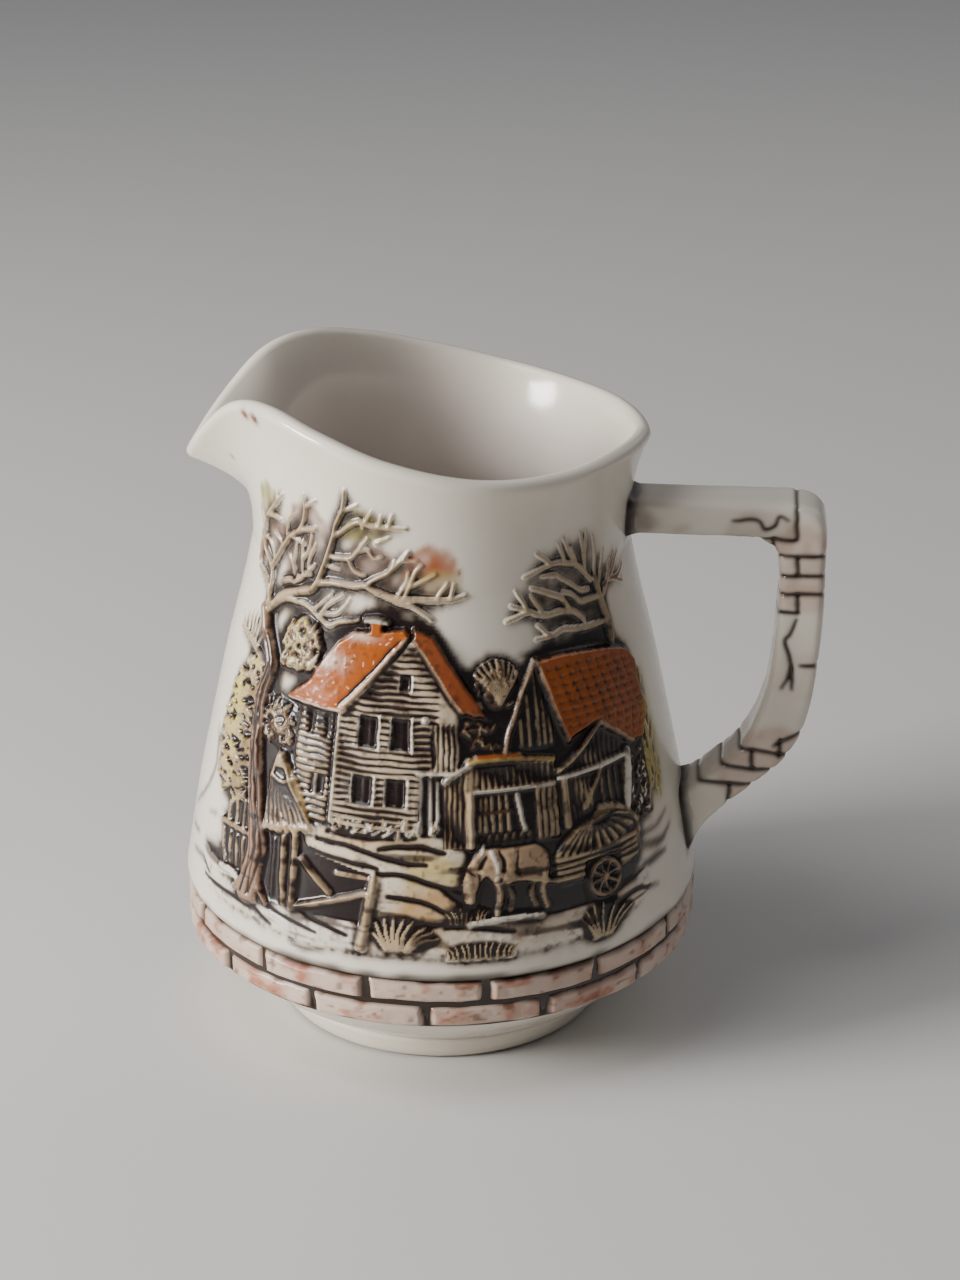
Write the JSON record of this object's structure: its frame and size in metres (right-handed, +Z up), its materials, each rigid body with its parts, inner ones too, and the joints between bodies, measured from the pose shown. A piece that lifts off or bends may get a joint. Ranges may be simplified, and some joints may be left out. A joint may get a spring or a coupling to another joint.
{
  "type": "cream jug",
  "caption": "Small relief-moulded glazed cream jug with a pulled spout, a squared loop handle, a farmyard scene and a brick border above a foot.",
  "frame": {"origin": "bottom centre of the jug's bounding box, on the plane it stands on", "axes": "+Z up, +X from the spout towards the handle, the relief scene seen from -Y"},
  "size_m": [0.1155, 0.0961, 0.12],
  "materials": {
    "glazed_body": "glossy",
    "foot": "glossy",
    "brick": "glossy",
    "slip_wash": "glossy",
    "relief_cream": "glossy",
    "relief_wash": "glossy",
    "relief_tile": "glossy",
    "relief_leaf": "glossy",
    "relief_straw": "glossy"
  },
  "bodies": {
    "root": {"jug_body": "glazed_body", "foot_ring": "foot", "brick_course_lower": "brick", "brick_course_upper": "brick", "handle": "glazed_body", "slip_joint_upper": "slip_wash", "slip_joint_lower": "slip_wash", "relief_old_tree": "relief_wash", "relief_hedge": "relief_leaf", "relief_farmhouse": "relief_cream", "relief_farmhouse_roof": "relief_tile", "relief_corn_stook": "relief_straw", "relief_bush": "relief_leaf", "relief_barn": "relief_cream", "relief_barn_roof": "relief_tile", "relief_lean_to": "relief_straw", "relief_bare_tree": "relief_wash", "relief_horse": "relief_cream", "relief_hay_cart": "relief_straw", "relief_gate": "relief_wash", "relief_bank": "relief_cream", "relief_reeds": "relief_leaf", "relief_back_tree": "relief_wash", "relief_back_cottage": "relief_cream", "relief_back_roof": "relief_tile", "relief_back_stook": "relief_straw", "relief_back_hedge": "relief_leaf", "relief_back_gate": "relief_wash", "relief_back_bank": "relief_cream"}
  },
  "joints": []
}
